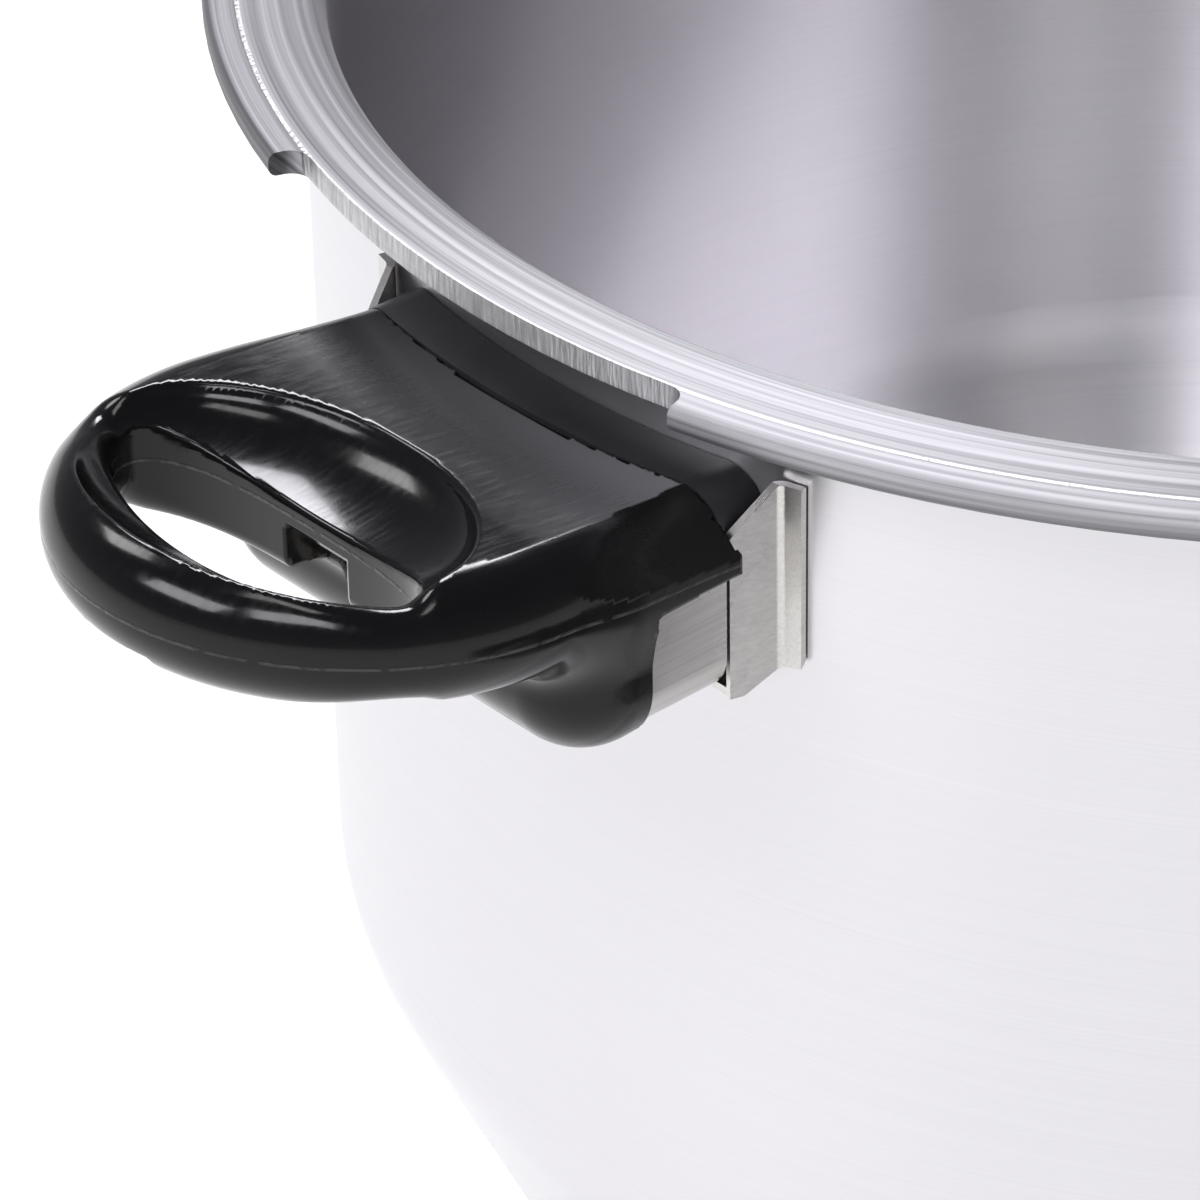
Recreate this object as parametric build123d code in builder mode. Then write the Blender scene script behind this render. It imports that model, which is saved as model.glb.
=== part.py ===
from build123d import *
from math import asin, cos, radians, sin, tan
import os

# Stovetop pressure cooker, lid off: the open pot stands at the origin and the lid lies beside it on -Y.
# Millimetres, +Z up. The origin is the centre of the pot's base face.
# The short helper handle points along -X and the long main handle along +X.

os.makedirs("parts", exist_ok=True)

# ---- driving dimensions: pot ----
pot_height = 178.0
wall_radius = 123.0
wall = 3.0
base_thickness = 4.0
taper_height = 52.0
taper_angle = 25.0
taper_blend = 22.0
base_corner = 12.0
flange_thickness = 3.0
lug_radius = 134.8
notch_radius = 130.7
notch_angle = 31.2
notch_offset = -3.6
notch_corner = 2.5
lug_count = 6
rim_lip = 3.6
lug_rounding = 1.1

# ---- driving dimensions: handle mounts (u is outward from the pot's axis, drops are below the rim) ----
gap = 0.1
steel = 1.0
strap = 2.0
spacer_outer = 129.5
seam_radius = 129.6
mount_half_width = 31.0
mount_top = 12.5
mount_bottom = 38.5
spacer_rounding = 5.0
pocket_half_width = 24.0
pocket_top = 18.0
pocket_bottom = 36.0
strap_top = 19.0
strap_bottom = 35.0
screw_drop = 27.0
screw_radius = 2.5
screw_head_radius = 4.6
screw_head_height = 3.0
washer_thickness = 1.0
rivet_radius = 3.0
rivet_head_radius = 5.5
rivet_head = 2.0
rivet_spread = 18.0
guard_end = 137.5
guard_top = 21.5
guard_bend = 6.0
guard_nick = 0.8

# ---- driving dimensions: helper handle (loop distances start at the seam's corners, along the rising loop) ----
loop_top = 12.4
loop_rise = 5.7
loop_thickness = 15.2
loop_root = 6.0
loop_root_half_width = 30.8
loop_start = 26.0
loop_half_width = 33.0
loop_tip = 61.0
loop_rounding = 7.4
boss_end = 149.4
boss_half_width = 32.0
boss_bottom = 40.5
boss_corner = 9.6
boss_rounding = 8.5
hole_wall = 31.4
hole_centre = 37.8
hole_half_length = 24.0
hole_half_width = 11.2
hole_corner = 6.0
dish_centre = 37.4
dish_half_width = 18.1
dish_half_length = 25.7
dish_depth = 6.5
helper_pocket_half_width = 15.0
helper_plate_u = 138.0
helper_head_u = 147.0
recess_half_width = 5.1
recess_top = 18.5

# ---- driving dimensions: main handle ----
grip_top = 4.0
handle_top = 13.0
grip_end = 318.0
ramp_top_u = 146.5
tongue_end = 160.0
tongue_half_width = 12.0
main_screw_u = 148.0
main_seat_drop = 34.5
tongue_drop = 28.0
tongue_thickness = 3.0
latch_pocket_u = 153.5
latch_half_width = 4.0

# ---- driving dimensions: lid ----
lid_offset = 300.0
skirt_radius = 138.8
skirt_inner = 135.8
lid_thickness = 3.0
rim_top = 18.0
dome_edge = 118.0
dome_height = 40.0
lid_lug_inner = 131.5
lid_lug_angle = 27.0
turn_angle = 30.0
window_angle = 13.0
vent_boss_top = 41.0
vent_boss_under = 36.4
float_x = 92.0
float_travel = 4.0
float_boss_top = 31.0
float_boss_under = 22.5
float_hole = 2.6
plug_x = -52.0
plug_y = 34.0
plug_boss_top = 37.0
plug_boss_under = 29.0
plug_hole = 5.0
boss_radius = 9.0
lip_outer = 120.2
lip_inner = 117.0
lip_bottom = 9.0
window_bottom = 8.0
window_height = 5.0
window_place = 100.0
ring_inner = 120.8
ring_outer = 135.4
ring_top = 14.7
ring_bottom = 6.4
lid_rivet_u = 128.0
lid_rivet_v = 5.0
lid_rivet_radius = 2.4
vent_thread_radius = 4.0
vent_pipe_bottom = 28.5
vent_bore = 1.25
nipple_radius = 3.2
nipple_top = 53.0
nut_height = 4.0
strainer_radius = 8.5
strainer_height = 8.0
strainer_wall = 0.8
weight_radius = 11.5
weight_bottom = 45.5
weight_top = 63.0
cap_radius = 15.0
cap_bottom = 48.0
cap_top = 68.0
float_shaft = 2.2
float_head = 3.4
float_head_top = 38.0
float_foot = 1.6
float_seal_height = 1.8
float_seal_radius = 5.5

# ---- driving dimensions: lid handle and its lock ----
plate_bottom = 18.1
plate_thickness = 2.0
plate_start = 122.0
plate_end = 172.0
plate_half_width = 14.5
base_start = 141.0
base_top = 18.0
bar_half_width = 6.0
rib_bottom = 23.0
base_bottom = 13.0
nose_u = 80.0
cover_under_nose = 31.4
channel_half_width = 8.0
channel_top = 37.0
channel_end = 196.0
bar_bottom = 33.0
bar_thickness = 2.0
bar_start = 104.0
bar_end = 186.0
lock_travel = 8.0
tooth_u = 149.0
tooth_thickness = 3.0
tooth_bottom = 8.2
button_u = 168.0
button_half_length = 8.0
button_half_width = 6.5
button_top = 44.0
rib_u = 121.0
rib_thickness = 3.0
spring_radius = 2.6
spring_wire = 0.5
spring_z = 28.0

cover_screw_u = 162.0
cover_screw_v = 11.6
cover_end_screw_u = 300.0
cover_screw_radius = 1.6
cover_screw_head = 3.2
cover_screw_sink = 2.2
cover_screw_length = 12.0
spring_turns = 9

rim_z = pot_height
flange_under = rim_z - flange_thickness
inner_radius = wall_radius - wall
taper_run = tan(radians(taper_angle))
base_radius = wall_radius - taper_height * taper_run

helper = Plane(origin=(0, 0, rim_z), x_dir=(-1, 0, 0), z_dir=(0, 0, 1))
main = Plane(origin=(0, 0, rim_z), x_dir=(1, 0, 0), z_dir=(0, 0, 1))
lid = Plane(origin=(0, -lid_offset, 0), x_dir=(1, 0, 0), z_dir=(0, 0, 1))


def save(piece, name):
    """Label a finished piece and write its STEP file."""
    piece.part.label = name
    export_step(piece.part, f"parts/{name}.step")


def side_of(plane):
    """The plane's own u-z section, for profiles seen from the side."""
    return Plane(origin=plane.origin, x_dir=plane.x_dir, z_dir=-plane.y_dir)


def across(plane, u, drop=0):
    """The v-z section at distance u out along the plane, centred at a drop below it."""
    centre = plane.origin + plane.x_dir * u - plane.z_dir * drop
    return Plane(origin=centre, x_dir=plane.y_dir, z_dir=plane.x_dir)


def corner(x, y):
    """The corner of the sketch being built that is nearest to (x, y)."""
    return vertices().sort_by_distance((x, y, 0))[0]


def on_wall(radius, v):
    """The point of a circle about the pot's axis at sideways distance v."""
    return (radius * cos(asin(v / radius)), v)


def make_drill(plane):
    """The two rivet holes of a handle mount, as solids to cut away."""
    with BuildPart() as drill:
        with BuildSketch(across(plane, inner_radius - 5)):
            with Locations((-rivet_spread, -screw_drop), (rivet_spread, -screw_drop)):
                Circle(rivet_radius)
        extrude(amount=15)
    return drill.part


seam_corner_u = on_wall(seam_radius, mount_half_width)[0]
helper_drill = make_drill(helper)
main_drill = make_drill(main)

# ================= pot body =================
inner_taper_height = taper_height + wall * tan(radians(taper_angle / 2))
inner_base_radius = inner_radius - (inner_taper_height - base_thickness) * taper_run

with BuildPart() as pot_body:
    with BuildSketch(Plane.XZ):
        with BuildLine():
            Polyline(
                (0, 0),
                (base_radius, 0),
                (wall_radius, taper_height),
                (wall_radius, flange_under),
                (lug_radius, flange_under),
                (lug_radius, rim_z),
                (inner_radius, rim_z),
                (inner_radius, inner_taper_height),
                (inner_base_radius, base_thickness),
                (0, base_thickness),
                close=True,
            )
        make_face()
        fillet(corner(base_radius, 0), base_corner)
        fillet(corner(wall_radius, taper_height), taper_blend)
        fillet(corner(wall_radius, flange_under), 2.0)
        fillet(corner(lug_radius, flange_under), lug_rounding)
        fillet(corner(lug_radius, rim_z), lug_rounding)
        fillet(corner(inner_radius, rim_z), rim_lip)
        fillet(corner(inner_radius, inner_taper_height), taper_blend)
        fillet(corner(inner_base_radius, base_thickness), base_corner)
    revolve(axis=Axis.Z)
    with BuildSketch(Plane.XY.offset(rim_z)):
        with BuildSketch(mode=Mode.PRIVATE) as notch:
            with BuildLine():
                inner_arc = CenterArc((0, 0), notch_radius, -notch_angle / 2, notch_angle)
                outer_arc = CenterArc((0, 0), lug_radius + 2, -notch_angle / 2, notch_angle)
                Line(inner_arc @ 0, outer_arc @ 0)
                Line(inner_arc @ 1, outer_arc @ 1)
            make_face()
            fillet(vertices().sort_by(Axis.X)[:2], notch_corner)
        with PolarLocations(0, lug_count, start_angle=notch_offset):
            add(notch.sketch)
    extrude(amount=-flange_thickness, mode=Mode.SUBTRACT)
    add([helper_drill, main_drill], mode=Mode.SUBTRACT)
save(pot_body, "pot_body")


# ================= handle mounts, alike at both handles =================
def make_spacer(plane):
    """Moulded block between the wall and a handle, hollow where the steel bracket passes."""
    with BuildPart() as spacer:
        with BuildSketch(plane.offset(-mount_top)):
            Rectangle(2 * spacer_outer, 2 * (mount_half_width - steel - 2 * gap))
            Circle(spacer_outer, mode=Mode.INTERSECT)
            Circle(wall_radius + gap, mode=Mode.SUBTRACT)
            split(bisect_by=Plane.YZ, keep=Keep.TOP)
        extrude(amount=mount_top - mount_bottom + steel + 2 * gap)
        with BuildSketch(side_of(plane)):
            with Locations(((wall_radius + spacer_outer) / 2, -(pocket_top + pocket_bottom) / 2)):
                Rectangle(20, pocket_bottom - pocket_top)
        extrude(amount=pocket_half_width, both=True, mode=Mode.SUBTRACT)
        long_edges = spacer.edges().filter_by(Axis.X).group_by(Axis.Z)
        fillet(long_edges[0], guard_bend)
        fillet(long_edges[-1], spacer_rounding)
    return spacer


def make_rear_guard(plane):
    """Thin steel collar under the spacer whose cheeks flare out onto the wall."""
    inner_half_width = mount_half_width - steel
    front = seam_corner_u - 0.5
    with BuildPart() as guard:
        with BuildSketch(plane.offset(-mount_top)):
            with BuildLine():
                FilletPolyline(
                    on_wall(wall_radius + 2 * gap, mount_half_width + 4),
                    on_wall(wall_radius + 2 * gap, mount_half_width + 1),
                    (front, inner_half_width),
                    radius=2.0,
                )
                offset(amount=steel, side=Side.LEFT, closed=True)
            make_face()
            mirror(about=Plane.XZ)
        extrude(amount=mount_top - mount_bottom)
        with BuildSketch(plane.offset(steel - mount_bottom)):
            Rectangle(front, 2 * mount_half_width, align=(Align.MIN, Align.CENTER))
            Circle(wall_radius + 2 * gap, mode=Mode.SUBTRACT)
        extrude(amount=-steel)
        with BuildSketch(side_of(plane)):
            with BuildLine():
                Polyline(
                    (wall_radius - 12, -mount_top),
                    (wall_radius - 3, -mount_top),
                    (spacer_outer, -guard_top),
                    (spacer_outer, -mount_bottom),
                    (wall_radius + 1, -mount_bottom),
                    (wall_radius - 12, -mount_bottom + 8),
                    close=True,
                )
            make_face()
        extrude(amount=mount_half_width + 8, both=True, mode=Mode.INTERSECT)
    return guard


def make_front_guard(plane):
    """Thin steel U that wraps the sides and the underside of a handle's root."""
    with BuildPart() as guard:
        with BuildSketch(across(plane, seam_corner_u + 0.3)):
            with BuildLine():
                FilletPolyline(
                    (-mount_half_width, -guard_top),
                    (-mount_half_width, -mount_bottom),
                    (mount_half_width, -mount_bottom),
                    (mount_half_width, -guard_top),
                    radius=guard_bend,
                )
                offset(amount=steel, side=Side.LEFT, closed=True)
            make_face()
        extrude(amount=guard_end - seam_corner_u - 0.3)
        with BuildSketch(side_of(plane)):
            for u in (seam_corner_u + 0.3, guard_end):
                with Locations((u, -guard_top)):
                    Rectangle(2 * guard_nick, 2 * guard_nick, rotation=45)
        extrude(amount=mount_half_width + 2, both=True, mode=Mode.SUBTRACT)
    return guard


def make_rivets(plane):
    """Two rivets through the wall, with domed heads inside the pot."""
    with BuildPart() as rivets:
        for v in (-rivet_spread, rivet_spread):
            wall_u = on_wall(inner_radius, abs(v))[0]
            plate_u = on_wall(wall_radius + strap + gap, abs(v))[0]
            with BuildSketch(across(plane, wall_u - 2.2)):
                with Locations((v, -screw_drop)):
                    Circle(rivet_radius - gap / 2)
            extrude(amount=plate_u - wall_u + 4.4)
            for u in (wall_u - 2.2 - rivet_head, plate_u + 1.2):
                with BuildSketch(across(plane, u)):
                    with Locations((v, -screw_drop)):
                        Circle(rivet_head_radius)
                extrude(amount=rivet_head)
        inner_heads = rivets.faces().filter_by(GeomType.PLANE).group_by(Axis.X)
        fillet(inner_heads[0].edges() + inner_heads[-1].edges(), rivet_head * 0.6)
    return rivets


for side_name, plane in (("helper", helper), ("main", main)):
    for piece_name, piece in (
        ("spacer", make_spacer(plane)),
        ("rear_guard", make_rear_guard(plane)),
        ("front_guard", make_front_guard(plane)),
        ("rivets", make_rivets(plane)),
    ):
        save(piece, f"{side_name}_{piece_name}")


# ================= helper handle =================
with BuildPart() as helper_bracket:
    with BuildSketch(helper.offset(-strap_top)):
        with BuildLine():
            foot = on_wall(wall_radius + gap, rivet_spread + 5.5)
            bend = on_wall(wall_radius + gap, rivet_spread - 8)
            FilletPolyline(
                bend,
                (helper_plate_u, bend[1]),
                (helper_plate_u, -bend[1]),
                (bend[0], -bend[1]),
                radius=3.0,
            )
            offset(amount=strap, side=Side.LEFT, closed=True)
        make_face()
        with BuildSketch(mode=Mode.PRIVATE) as feet:
            Circle(wall_radius + gap + strap)
            Circle(wall_radius + gap, mode=Mode.SUBTRACT)
            with Locations((foot[0], 0)):
                Rectangle(12, 2 * foot[1], mode=Mode.INTERSECT)
            with Locations((foot[0], 0)):
                Rectangle(30, 2 * bend[1], mode=Mode.SUBTRACT)
        add(feet.sketch)
    extrude(amount=strap_top - strap_bottom)
    add(helper_drill, mode=Mode.SUBTRACT)
    with BuildSketch(across(helper, helper_plate_u - 2 * strap)):
        with Locations((0, -screw_drop)):
            Circle(screw_radius)
    extrude(amount=4 * strap, mode=Mode.SUBTRACT)
save(helper_bracket, "helper_bracket")

with BuildSketch() as root_core:
    with Locations((0, -guard_top + gap)):
        Rectangle(
            2 * (mount_half_width - steel - gap),
            mount_bottom - guard_top - steel,
            align=(Align.CENTER, Align.MAX),
        )
    fillet(vertices().group_by(Axis.Y)[0], guard_bend)

loop_plane = Plane(
    origin=helper.from_local_coords((seam_corner_u, 0, -loop_top)),
    x_dir=(-cos(radians(loop_rise)), 0, sin(radians(loop_rise))),
    z_dir=(sin(radians(loop_rise)), 0, cos(radians(loop_rise))),
)
dish = Pos(dish_centre, 0, 0) * scale(Sphere(1), (dish_half_width, dish_half_length, dish_depth))

with BuildPart() as helper_handle:
    with BuildSketch(loop_plane):
        with BuildLine():
            tip = EllipticalCenterArc(
                (loop_start, 0), loop_tip - loop_start, loop_half_width, start_angle=-90, arc_size=180)
            Spline((0, loop_root_half_width), tip @ 1, tangents=((1, 0.12), (1, 0)))
            Spline((0, -loop_root_half_width), tip @ 0, tangents=((1, -0.12), (1, 0)))
            Polyline(
                (0, loop_root_half_width),
                (-loop_root, loop_root_half_width),
                (-loop_root, -loop_root_half_width),
                (0, -loop_root_half_width),
            )
        make_face()
    extrude(amount=-loop_thickness)
    flat_faces = faces().filter_by(Axis(loop_plane.origin, loop_plane.z_dir))
    fillet(flat_faces.edges().filter_by(lambda e: e.center().X < loop_root - seam_corner_u - 2), loop_rounding)
    with BuildSketch(helper.offset(-guard_top)):
        Rectangle(2 * boss_end, 2 * boss_half_width)
        fillet(vertices(), boss_corner)
        Circle(seam_radius, mode=Mode.SUBTRACT)
        split(bisect_by=Plane.YZ, keep=Keep.TOP)
    extrude(amount=guard_top - boss_bottom)
    under_edges = edges().group_by(Axis.Z)[0]
    fillet(under_edges.filter_by(lambda e: e.center().X < -seam_radius - 2), boss_rounding)
    with BuildSketch(helper):
        Circle(seam_radius)
    extrude(amount=-boss_bottom, mode=Mode.SUBTRACT)
    with BuildSketch(loop_plane):
        with Locations((hole_centre, 0)):
            Ellipse(hole_half_width, hole_half_length)
        with Locations((hole_wall, 0)):
            Rectangle(
                2 * hole_half_width + hole_centre,
                2 * hole_half_length,
                align=(Align.MIN, Align.CENTER),
                mode=Mode.INTERSECT,
            )
    extrude(amount=2 * loop_thickness, both=True, mode=Mode.SUBTRACT)
    hole_corners = edges().filter_by(Axis(loop_plane.origin, loop_plane.z_dir))
    fillet(hole_corners.filter_by(lambda e: e.center().X < -boss_end), hole_corner)
    with BuildSketch(across(helper, seam_corner_u - steel)):
        with Locations((0, -guard_top + gap)):
            Rectangle(90, 60, align=(Align.CENTER, Align.MAX))
        add(root_core.sketch, mode=Mode.SUBTRACT)
    extrude(amount=guard_end - seam_corner_u + steel + gap, mode=Mode.SUBTRACT)
    with BuildSketch(side_of(helper)):
        with Locations((seam_corner_u, -pocket_top)):
            Rectangle(
                helper_plate_u - seam_corner_u + strap + 0.5,
                pocket_bottom - pocket_top,
                align=(Align.MIN, Align.MAX),
            )
    extrude(amount=helper_pocket_half_width, both=True, mode=Mode.SUBTRACT)
    with BuildSketch(across(helper, helper_plate_u)):
        with Locations((0, -screw_drop)):
            Circle(screw_radius + gap)
    extrude(amount=helper_head_u - helper_plate_u, mode=Mode.SUBTRACT)
    with BuildSketch(across(helper, helper_head_u - washer_thickness)):
        with Locations((0, -screw_drop)):
            Circle(recess_half_width)
            Rectangle(2 * recess_half_width, screw_drop - recess_top, align=(Align.CENTER, Align.MIN))
    extrude(amount=hole_wall, mode=Mode.SUBTRACT)
    add(loop_plane.location * dish, mode=Mode.SUBTRACT)
save(helper_handle, "helper_handle")


def make_screw(plane, length):
    """Pan-head screw with a cross slot; the plane lies under its head and faces out of it."""
    with BuildPart() as screw:
        with BuildSketch(plane):
            Circle(screw_radius - gap / 2)
        extrude(amount=-length)
        with BuildSketch(plane):
            Circle(screw_head_radius)
        extrude(amount=screw_head_height)
        outer_rim = screw.faces().sort_by(Axis(plane.origin, plane.z_dir))[-1].edges()
        fillet(outer_rim, 1.2)
        with BuildSketch(plane.offset(screw_head_height)):
            Rectangle(5.4, 1.1)
            Rectangle(1.1, 5.4)
        extrude(amount=-1.6, mode=Mode.SUBTRACT)
    return screw


def make_washer(plane):
    """Split spring washer under a screw head; the plane is its outer face."""
    with BuildPart() as washer:
        with BuildSketch(plane):
            Circle(screw_head_radius)
            Circle(screw_radius + gap, mode=Mode.SUBTRACT)
            with Locations((screw_head_radius, 0)):
                Rectangle(screw_head_radius, 0.8, mode=Mode.SUBTRACT)
        extrude(amount=-washer_thickness)
    return washer


helper_screw_seat = across(helper, helper_head_u, screw_drop)
save(make_screw(helper_screw_seat, helper_head_u - helper_plate_u + strap), "helper_screw")
save(make_washer(helper_screw_seat), "helper_washer")


# ================= main handle =================
with BuildPart() as main_bracket:
    with BuildSketch(main.offset(-strap_top)):
        Circle(wall_radius + gap + strap)
        Circle(wall_radius + gap, mode=Mode.SUBTRACT)
        with Locations((wall_radius, 0)):
            Rectangle(30, 2 * (pocket_half_width - 0.5), mode=Mode.INTERSECT)
    extrude(amount=strap_top - strap_bottom)
    add(main_drill, mode=Mode.SUBTRACT)
    with BuildSketch(main.offset(-tongue_drop)):
        Rectangle(2 * tongue_end, 2 * tongue_half_width)
        fillet(vertices(), 4.0)
        Circle(wall_radius + gap, mode=Mode.SUBTRACT)
        split(bisect_by=Plane.YZ, keep=Keep.TOP)
        with Locations((main_screw_u, 0)):
            Circle(screw_radius, mode=Mode.SUBTRACT)
    extrude(amount=tongue_thickness)
save(main_bracket, "main_bracket")

# grip sections: distance out, half width, top, bottom, corner radius
grip_sections = (
    (ramp_top_u, 28.0, grip_top, -31.0, 7.0),
    (166.0, 19.0, grip_top, -26.0, 8.0),
    (200.0, 16.0, grip_top - 0.5, -19.0, 8.0),
    (245.0, 15.0, grip_top - 1.0, -16.0, 7.5),
    (290.0, 16.5, grip_top - 1.5, -17.0, 8.0),
    (grip_end - 4, 14.0, grip_top - 4.0, -14.0, 6.5),
    (grip_end, 9.0, grip_top - 8.0, -10.0, 2.9),
)

with BuildPart() as main_handle:
    for u, half_width, top, bottom, radius in grip_sections:
        with BuildSketch(across(main, u)):
            with Locations((0, (top + bottom) / 2)):
                RectangleRounded(2 * half_width, top - bottom, radius)
    loft()
    with BuildSketch(main.offset(-handle_top)):
        Rectangle(2 * (ramp_top_u + 8), 2 * mount_half_width)
        fillet(vertices(), boss_corner)
        Circle(seam_radius, mode=Mode.SUBTRACT)
        split(bisect_by=Plane.YZ, keep=Keep.TOP)
    extrude(amount=handle_top - mount_bottom)
    with BuildSketch(across(main, seam_corner_u)):
        with Locations((0, -guard_top + gap)):
            Rectangle(90, 60, align=(Align.CENTER, Align.MAX))
        add(root_core.sketch, mode=Mode.SUBTRACT)
    extrude(amount=guard_end - seam_corner_u + gap, mode=Mode.SUBTRACT)
    with BuildSketch(main.offset(-tongue_drop - gap)):
        Rectangle(2 * (tongue_end + 0.5), 2 * (tongue_half_width + 0.5))
        split(bisect_by=Plane.YZ, keep=Keep.TOP)
    extrude(amount=tongue_thickness + 2 * gap, mode=Mode.SUBTRACT)
    with BuildSketch(main.offset(-mount_bottom - 1)):
        with Locations((main_screw_u, 0)):
            Circle(screw_radius + gap)
    extrude(amount=mount_bottom - tongue_drop + tongue_thickness + 5, mode=Mode.SUBTRACT)
    with BuildSketch(main.offset(-mount_bottom - 1)):
        with Locations((main_screw_u, 0)):
            Circle(screw_head_radius + 0.5)
    extrude(amount=mount_bottom + 1 - main_seat_drop + washer_thickness, mode=Mode.SUBTRACT)
    with BuildSketch(main.offset(grip_top + 1)):
        with Locations((ramp_top_u - 1, 0)):
            Rectangle(
                latch_pocket_u - ramp_top_u + 1,
                2 * latch_half_width + 2,
                align=(Align.MIN, Align.CENTER),
            )
    extrude(amount=-8, mode=Mode.SUBTRACT)
save(main_handle, "main_handle")

main_screw_seat = Plane(origin=(main_screw_u, 0, rim_z - main_seat_drop), x_dir=(1, 0, 0), z_dir=(0, 0, -1))
save(make_screw(main_screw_seat, main_seat_drop - tongue_drop + tongue_thickness + 2), "main_screw")
save(make_washer(main_screw_seat), "main_washer")


# ================= lid =================
dome_rise = dome_height - rim_top
dome_radius = (dome_edge**2 + dome_rise**2) / (2 * dome_rise)


def dome_z(radius, depth=0.0):
    """Height of the dome, or of the surface a depth under it, at a distance from the lid's axis."""
    return dome_height - dome_radius + ((dome_radius - depth) ** 2 - radius**2) ** 0.5


def lid_sector(inner, outer, angle):
    """Flat ring sector centred on the lid's +X direction."""
    with BuildSketch() as sector:
        with BuildLine():
            inner_arc = CenterArc((0, 0), inner, -angle / 2, angle)
            outer_arc = CenterArc((0, 0), outer, -angle / 2, angle)
            Line(inner_arc @ 0, outer_arc @ 0)
            Line(inner_arc @ 1, outer_arc @ 1)
        make_face()
    return sector.sketch


lid_lug = lid_sector(lid_lug_inner, skirt_inner + 1, lid_lug_angle)
window = lid_sector(skirt_inner - 2, skirt_radius + 2, window_angle)
bosses = (
    (0.0, 0.0, vent_boss_top, vent_boss_under, vent_thread_radius + gap),
    (float_x, 0.0, float_boss_top, float_boss_under, float_hole),
    (plug_x, plug_y, plug_boss_top, plug_boss_under, plug_hole),
)

with BuildPart() as lid_shell:
    with BuildSketch(side_of(lid)):
        with BuildLine():
            half_r = dome_edge / 2
            lip_z = dome_z(lip_inner, lid_thickness)
            Polyline(
                (0, dome_height - lid_thickness),
                (0, dome_height),
            )
            ThreePointArc((0, dome_height), (half_r, dome_z(half_r)), (dome_edge, rim_top))
            Polyline(
                (dome_edge, rim_top),
                (skirt_radius, rim_top),
                (skirt_radius, 0),
                (skirt_inner, 0),
                (skirt_inner, rim_top - lid_thickness),
                (lip_outer, rim_top - lid_thickness),
                (lip_outer, lip_bottom),
                (lip_inner, lip_bottom),
                (lip_inner, lip_z),
            )
            ThreePointArc(
                (lip_inner, lip_z),
                (half_r, dome_z(half_r, lid_thickness)),
                (0, dome_height - lid_thickness),
            )
        make_face()
        fillet(corner(skirt_radius, rim_top), 4.5)
        fillet(corner(dome_edge, rim_top), 5.0)
        fillet(corner(skirt_radius, 0), 1.0)
    revolve(axis=Axis(lid.origin, (0, 0, 1)))
    with BuildSketch(lid):
        with PolarLocations(0, lug_count, start_angle=notch_offset + turn_angle):
            add(lid_lug)
    extrude(amount=lid_thickness)
    with BuildSketch(lid.offset(window_bottom)):
        with PolarLocations(0, 1, start_angle=window_place):
            add(window)
    extrude(amount=window_height, mode=Mode.SUBTRACT)
    for x, y, top, under, hole in bosses:
        with BuildSketch(lid.offset(under)):
            with Locations((x, y)):
                Circle(boss_radius)
        extrude(amount=top - under)
        with BuildSketch(lid.offset(under)):
            with Locations((x, y)):
                Circle(hole)
        extrude(amount=top - under, mode=Mode.SUBTRACT)
    with BuildSketch(lid.offset(rim_top)):
        with Locations((lid_rivet_u, -lid_rivet_v), (lid_rivet_u, lid_rivet_v)):
            Circle(lid_rivet_radius)
    extrude(amount=-lid_thickness, mode=Mode.SUBTRACT)
save(lid_shell, "lid_shell")

with BuildPart() as sealing_ring:
    with BuildSketch(side_of(lid)):
        with BuildLine():
            Polyline(
                (ring_inner, ring_top),
                (ring_outer, ring_top),
                (ring_outer, ring_bottom + 1),
                (ring_outer - 3, ring_bottom),
                (ring_outer - 4, ring_bottom + 1.5),
                (ring_outer - 4, ring_top - 3),
                (ring_inner + 3.5, ring_top - 3),
                (ring_inner + 3, ring_bottom + 0.5),
                (ring_inner, ring_bottom),
                close=True,
            )
        make_face()
        fillet(vertices(), 0.45)
    revolve(axis=Axis(lid.origin, (0, 0, 1)))
save(sealing_ring, "sealing_ring")

with BuildPart() as vent_pipe:
    with BuildSketch(lid.offset(vent_pipe_bottom)):
        Circle(vent_thread_radius)
    extrude(amount=vent_boss_top + gap - vent_pipe_bottom)
    with BuildSketch(lid.offset(vent_boss_top + gap)):
        RegularPolygon(8, 6)
    extrude(amount=2)
    with BuildSketch(lid.offset(vent_boss_top + gap + 2)):
        Circle(nipple_radius)
    extrude(amount=nipple_top - vent_boss_top - gap - 2)
    chamfer(edges().group_by(Axis.Z)[-1], 0.6)
    with BuildSketch(lid.offset(vent_pipe_bottom)):
        Circle(vent_bore)
    extrude(amount=nipple_top - vent_pipe_bottom, mode=Mode.SUBTRACT)
save(vent_pipe, "vent_pipe")

with BuildPart() as vent_nut:
    with BuildSketch(lid.offset(vent_boss_under - gap)):
        RegularPolygon(8, 6)
        Circle(vent_thread_radius + gap / 2, mode=Mode.SUBTRACT)
    extrude(amount=-nut_height)
save(vent_nut, "vent_nut")

strainer_top = vent_boss_under - gap - nut_height - gap
with BuildPart() as vent_strainer:
    with BuildSketch(lid.offset(strainer_top)):
        Circle(strainer_radius)
    extrude(amount=-strainer_height)
    fillet(edges().group_by(Axis.Z)[0], 1.5)
    with BuildSketch(lid.offset(strainer_top - strainer_wall)):
        Circle(strainer_radius - strainer_wall)
    extrude(amount=2 * strainer_wall - strainer_height, mode=Mode.SUBTRACT)
    with BuildSketch(lid.offset(strainer_top)):
        Circle(vent_thread_radius + gap / 2)
    extrude(amount=-strainer_wall, mode=Mode.SUBTRACT)
    with BuildSketch(lid.offset(strainer_top - 2.2)):
        with PolarLocations(strainer_radius, 10):
            Rectangle(4, 1.6)
    extrude(amount=4.4 - strainer_height, mode=Mode.SUBTRACT)
save(vent_strainer, "vent_strainer")

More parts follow.
